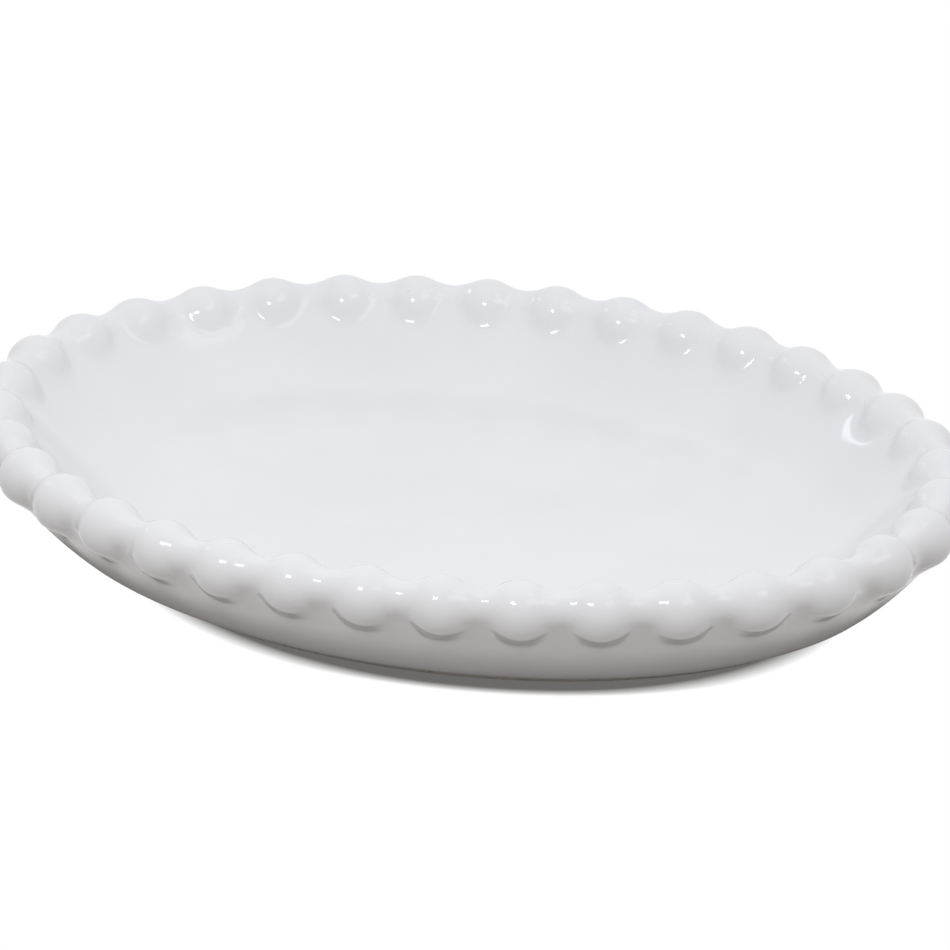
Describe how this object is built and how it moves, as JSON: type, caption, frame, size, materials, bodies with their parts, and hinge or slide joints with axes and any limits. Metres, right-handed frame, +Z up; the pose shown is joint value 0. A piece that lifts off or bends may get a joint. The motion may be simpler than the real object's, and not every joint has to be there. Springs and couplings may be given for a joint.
{
  "type": "soap dish",
  "caption": "Oval soap dish with a flat floor, a flared wall and a rim of round beads, standing on a low foot ring.",
  "frame": {"origin": "centre of the foot ring's resting face, at the table", "axes": "+X along the dish's length, +Y across it, +Z up out of the hollow"},
  "size_m": [0.14, 0.106, 0.0176],
  "materials": {
    "glaze": "glossy white glaze over stoneware",
    "bare_clay": "bare fired clay, matt"
  },
  "bodies": {
    "root": {"tray": "glaze", "foot_ring": "bare_clay", "bead_01": "glaze", "bead_02": "glaze", "bead_03": "glaze", "bead_04": "glaze", "bead_05": "glaze", "bead_06": "glaze", "bead_07": "glaze", "bead_08": "glaze", "bead_09": "glaze", "bead_10": "glaze", "bead_11": "glaze", "bead_12": "glaze", "bead_13": "glaze", "bead_14": "glaze", "bead_15": "glaze", "bead_16": "glaze", "bead_17": "glaze", "bead_18": "glaze", "bead_19": "glaze", "bead_20": "glaze", "bead_21": "glaze", "bead_22": "glaze", "bead_23": "glaze", "bead_24": "glaze", "bead_25": "glaze", "bead_26": "glaze", "bead_27": "glaze", "bead_28": "glaze", "bead_29": "glaze", "bead_30": "glaze", "bead_31": "glaze", "bead_32": "glaze", "bead_33": "glaze", "bead_34": "glaze", "bead_35": "glaze", "bead_36": "glaze"}
  },
  "joints": []
}
